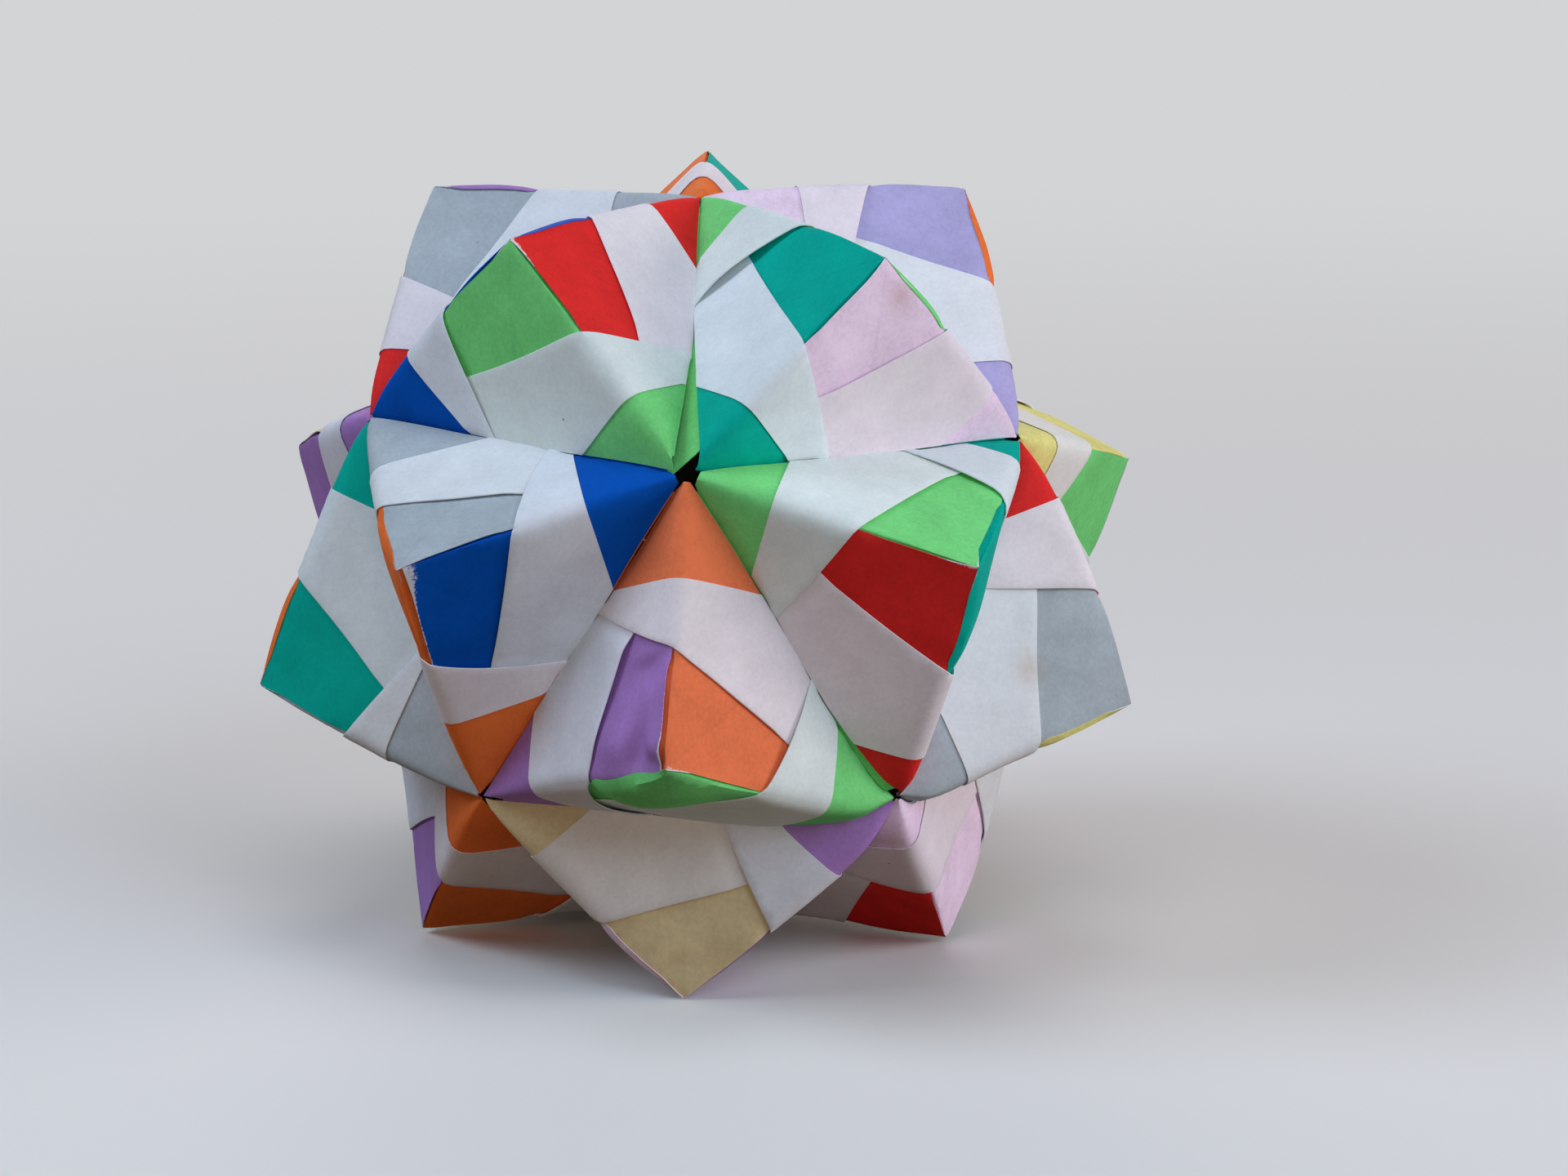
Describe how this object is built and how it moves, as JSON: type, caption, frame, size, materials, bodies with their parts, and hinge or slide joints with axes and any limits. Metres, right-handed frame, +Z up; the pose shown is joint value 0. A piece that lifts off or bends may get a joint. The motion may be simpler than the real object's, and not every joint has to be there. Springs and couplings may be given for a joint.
{
  "type": "modular folded paper ball",
  "caption": "Hollow ball of coloured paper units folded from squares, with three-sided points, held only by tabs in pockets; stands on a table or hangs by a thread.",
  "frame": {"origin": "on the standing surface, under the ball's centre, at the foot of the bottom eye", "axes": "+Z up through the bottom and top eyes, -Y to the front, +X to the right seen from the front"},
  "size_m": [0.0802, 0.0842, 0.0706],
  "materials": {
    "green_paper": "matt green origami paper, white on the reverse",
    "pink_paper": "matt pink origami paper, white on the reverse",
    "orange_paper": "matt orange origami paper, white on the reverse",
    "gray_paper": "matt gray origami paper, white on the reverse",
    "red_paper": "matt red origami paper, white on the reverse",
    "teal_paper": "matt teal origami paper, white on the reverse",
    "purple_paper": "matt purple origami paper, white on the reverse",
    "blue_paper": "matt blue origami paper, white on the reverse",
    "yellow_paper": "matt yellow origami paper, white on the reverse",
    "beige_paper": "matt beige origami paper, white on the reverse"
  },
  "bodies": {
    "root": {"crown_unit_1": "green_paper", "crown_unit_2": "pink_paper", "crown_unit_3": "orange_paper", "crown_unit_4": "gray_paper", "crown_unit_5": "red_paper", "upper_belt_unit_1": "teal_paper", "upper_belt_unit_2": "purple_paper", "upper_belt_unit_3": "teal_paper", "upper_belt_unit_4": "purple_paper", "upper_belt_unit_5": "blue_paper", "waist_right_unit_1": "green_paper", "waist_right_unit_2": "yellow_paper", "waist_right_unit_3": "blue_paper", "waist_right_unit_4": "beige_paper", "waist_right_unit_5": "gray_paper", "waist_left_unit_1": "orange_paper", "waist_left_unit_2": "red_paper", "waist_left_unit_3": "green_paper", "waist_left_unit_4": "yellow_paper", "waist_left_unit_5": "teal_paper", "lower_belt_unit_1": "gray_paper", "lower_belt_unit_2": "pink_paper", "lower_belt_unit_3": "blue_paper", "lower_belt_unit_4": "orange_paper", "lower_belt_unit_5": "purple_paper", "base_unit_1": "pink_paper", "base_unit_2": "red_paper", "base_unit_3": "yellow_paper", "base_unit_4": "purple_paper", "base_unit_5": "beige_paper"}
  },
  "joints": []
}
